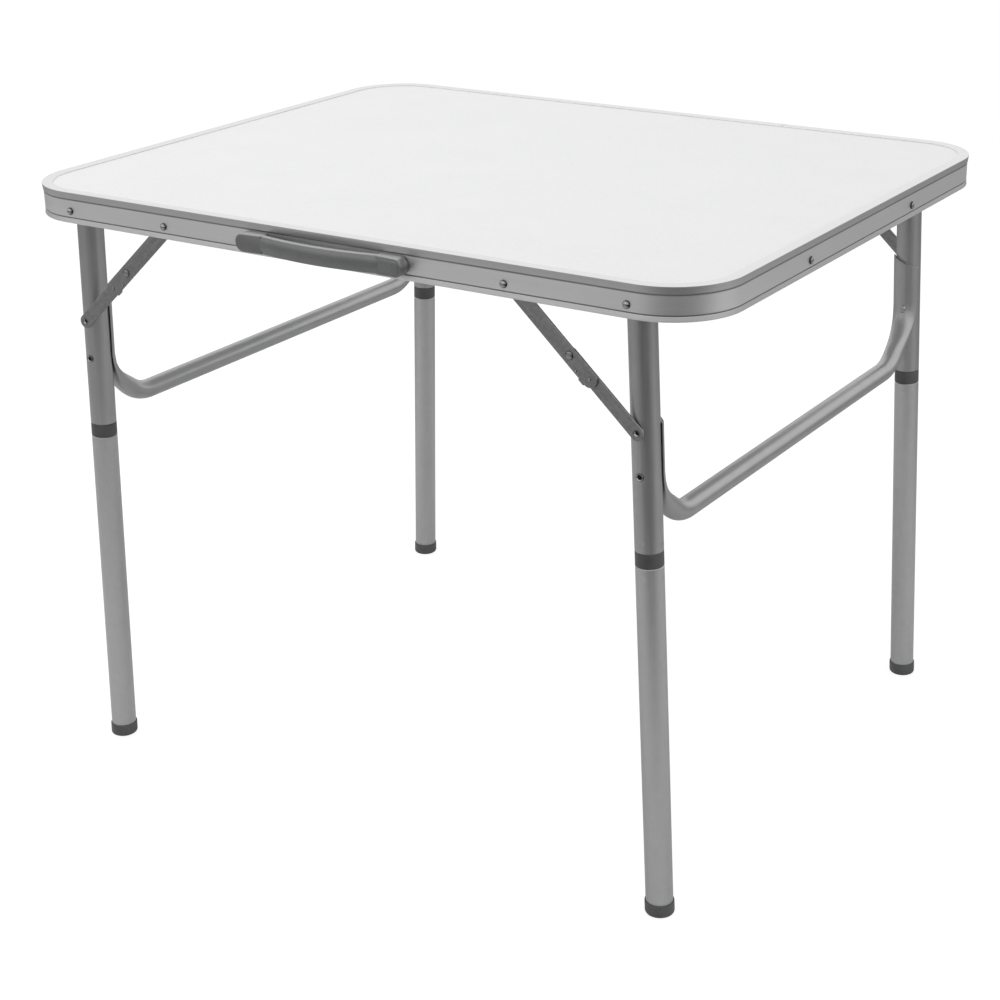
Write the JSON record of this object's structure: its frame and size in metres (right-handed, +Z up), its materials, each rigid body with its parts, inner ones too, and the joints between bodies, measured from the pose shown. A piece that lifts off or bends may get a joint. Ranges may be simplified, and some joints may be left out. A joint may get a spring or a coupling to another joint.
{
  "type": "folding camping table",
  "caption": "Folding camping table: laminated top in a rounded aluminium edge rail, hinged splayed leg frames with folding lock braces, plug-in lower legs and a carrying handle.",
  "frame": {"origin": "on the ground under the centre of the overall box, handle included", "axes": "+X along the table's long side, +Y from the handle side to the back, +Z up"},
  "size_m": [0.7524, 0.6172, 0.59],
  "materials": {
    "laminate": "off-white laminated board, satin, with a very fine pale speckle",
    "rail_aluminium": "satin anodised extrusion, fine lines along its length",
    "tube_aluminium": "satin grey tube",
    "cross_aluminium": "bright drawn tube",
    "strap_steel": "zinc-plated pressed strap, dull",
    "rivet_steel": "plated rivet",
    "grey_plastic": "dark grey moulded plastic, fine grain",
    "dark_plastic": "charcoal moulded plastic",
    "foot_plastic": "dark grey moulded cap",
    "spacer_plastic": "plain turned spacer"
  },
  "bodies": {
    "table_top": {"table_board": "laminate", "edge_rail": "rail_aluminium", "rail_splice": "strap_steel", "rail_splice_rivets": "rivet_steel", "board_brackets": "strap_steel", "board_screws": "rivet_steel", "handle_grip": "grey_plastic", "handle_end_left": "grey_plastic", "handle_end_right": "grey_plastic", "handle_screws": "rivet_steel", "leg_pivot_rivets": "rivet_steel", "leg_pivot_spacers": "spacer_plastic", "brace_pivot_rivets": "rivet_steel", "brace_pivot_spacers": "spacer_plastic"},
    "left_frame": {"left_front_upper_leg": "tube_aluminium", "left_front_leg_plug": "dark_plastic", "left_front_leg_socket": "dark_plastic", "left_back_upper_leg": "tube_aluminium", "left_back_leg_plug": "dark_plastic", "left_back_leg_socket": "dark_plastic", "left_cross_tube": "cross_aluminium", "left_cross_rivets": "rivet_steel", "left_brace_leg_rivets": "rivet_steel", "left_brace_washers": "rivet_steel"},
    "left_front_upper_strap": {"left_front_upper_brace": "strap_steel", "left_front_brace_rivet": "rivet_steel"},
    "left_front_lower_strap": {"left_front_lower_brace": "strap_steel"},
    "left_front_leg_end": {"left_front_lower_leg": "tube_aluminium", "left_front_leg_spigot": "dark_plastic", "left_front_foot": "foot_plastic"},
    "left_back_upper_strap": {"left_back_upper_brace": "strap_steel", "left_back_brace_rivet": "rivet_steel"},
    "left_back_lower_strap": {"left_back_lower_brace": "strap_steel"},
    "left_back_leg_end": {"left_back_lower_leg": "tube_aluminium", "left_back_leg_spigot": "dark_plastic", "left_back_foot": "foot_plastic"},
    "right_frame": {"right_front_upper_leg": "tube_aluminium", "right_front_leg_plug": "dark_plastic", "right_front_leg_socket": "dark_plastic", "right_back_upper_leg": "tube_aluminium", "right_back_leg_plug": "dark_plastic", "right_back_leg_socket": "dark_plastic", "right_cross_tube": "cross_aluminium", "right_cross_rivets": "rivet_steel", "right_brace_leg_rivets": "rivet_steel", "right_brace_washers": "rivet_steel"},
    "right_front_upper_strap": {"right_front_upper_brace": "strap_steel", "right_front_brace_rivet": "rivet_steel"},
    "right_front_lower_strap": {"right_front_lower_brace": "strap_steel"},
    "right_front_leg_end": {"right_front_lower_leg": "tube_aluminium", "right_front_leg_spigot": "dark_plastic", "right_front_foot": "foot_plastic"},
    "right_back_upper_strap": {"right_back_upper_brace": "strap_steel", "right_back_brace_rivet": "rivet_steel"},
    "right_back_lower_strap": {"right_back_lower_brace": "strap_steel"},
    "right_back_leg_end": {"right_back_lower_leg": "tube_aluminium", "right_back_leg_spigot": "dark_plastic", "right_back_foot": "foot_plastic"}
  },
  "joints": [
    {"name": "left_fold", "type": "hinge", "parent": "table_top", "child": "left_frame", "pos_m": [-0.303, 0.0074, 0.57154], "axis": [0, 1, 0], "range_deg": [-92.1, 0]},
    {"name": "left_front_upper_strap_pivot", "type": "hinge", "parent": "table_top", "child": "left_front_upper_strap", "pos_m": [-0.186, -0.2836, 0.57154], "axis": [0, 1, 0], "range_deg": [-137.31, 0]},
    {"name": "left_front_lower_strap_pivot", "type": "hinge", "parent": "left_frame", "child": "left_front_lower_strap", "pos_m": [-0.3071, -0.2836, 0.45961], "axis": [0, 1, 0], "range_deg": [0, 134.89]},
    {"name": "left_front_leg_end_slide", "type": "slide", "parent": "left_frame", "child": "left_front_leg_end", "axis": [-0.0366, 0, -0.9993], "range_m": [0, 0.045]},
    {"name": "left_back_upper_strap_pivot", "type": "hinge", "parent": "table_top", "child": "left_back_upper_strap", "pos_m": [-0.186, 0.2984, 0.57154], "axis": [0, 1, 0], "range_deg": [-137.31, 0]},
    {"name": "left_back_lower_strap_pivot", "type": "hinge", "parent": "left_frame", "child": "left_back_lower_strap", "pos_m": [-0.3071, 0.2984, 0.45961], "axis": [0, 1, 0], "range_deg": [0, 134.89]},
    {"name": "left_back_leg_end_slide", "type": "slide", "parent": "left_frame", "child": "left_back_leg_end", "axis": [-0.0366, 0, -0.9993], "range_m": [0, 0.045]},
    {"name": "right_fold", "type": "hinge", "parent": "table_top", "child": "right_frame", "pos_m": [0.303, 0.0074, 0.57154], "axis": [0, 1, 0], "range_deg": [0, 92.1]},
    {"name": "right_front_upper_strap_pivot", "type": "hinge", "parent": "table_top", "child": "right_front_upper_strap", "pos_m": [0.186, -0.2836, 0.57154], "axis": [0, 1, 0], "range_deg": [0, 137.31]},
    {"name": "right_front_lower_strap_pivot", "type": "hinge", "parent": "right_frame", "child": "right_front_lower_strap", "pos_m": [0.3071, -0.2836, 0.45961], "axis": [0, 1, 0], "range_deg": [-134.89, 0]},
    {"name": "right_front_leg_end_slide", "type": "slide", "parent": "right_frame", "child": "right_front_leg_end", "axis": [-0.0366, 0, 0.9993], "range_m": [-0.045, 0]},
    {"name": "right_back_upper_strap_pivot", "type": "hinge", "parent": "table_top", "child": "right_back_upper_strap", "pos_m": [0.186, 0.2984, 0.57154], "axis": [0, 1, 0], "range_deg": [0, 137.31]},
    {"name": "right_back_lower_strap_pivot", "type": "hinge", "parent": "right_frame", "child": "right_back_lower_strap", "pos_m": [0.3071, 0.2984, 0.45961], "axis": [0, 1, 0], "range_deg": [-134.89, 0]},
    {"name": "right_back_leg_end_slide", "type": "slide", "parent": "right_frame", "child": "right_back_leg_end", "axis": [-0.0366, 0, 0.9993], "range_m": [-0.045, 0]}
  ],
  "couplings": [
    {"joint": "left_front_upper_strap_pivot", "follows": "left_fold", "ratio": 1.4903},
    {"joint": "left_front_lower_strap_pivot", "follows": "left_fold", "ratio": -1.4641},
    {"joint": "left_back_upper_strap_pivot", "follows": "left_fold", "ratio": 1.4903},
    {"joint": "left_back_lower_strap_pivot", "follows": "left_fold", "ratio": -1.4641},
    {"joint": "right_front_upper_strap_pivot", "follows": "right_fold", "ratio": 1.4903},
    {"joint": "right_front_lower_strap_pivot", "follows": "right_fold", "ratio": -1.4641},
    {"joint": "right_back_upper_strap_pivot", "follows": "right_fold", "ratio": 1.4903},
    {"joint": "right_back_lower_strap_pivot", "follows": "right_fold", "ratio": -1.4641}
  ]
}
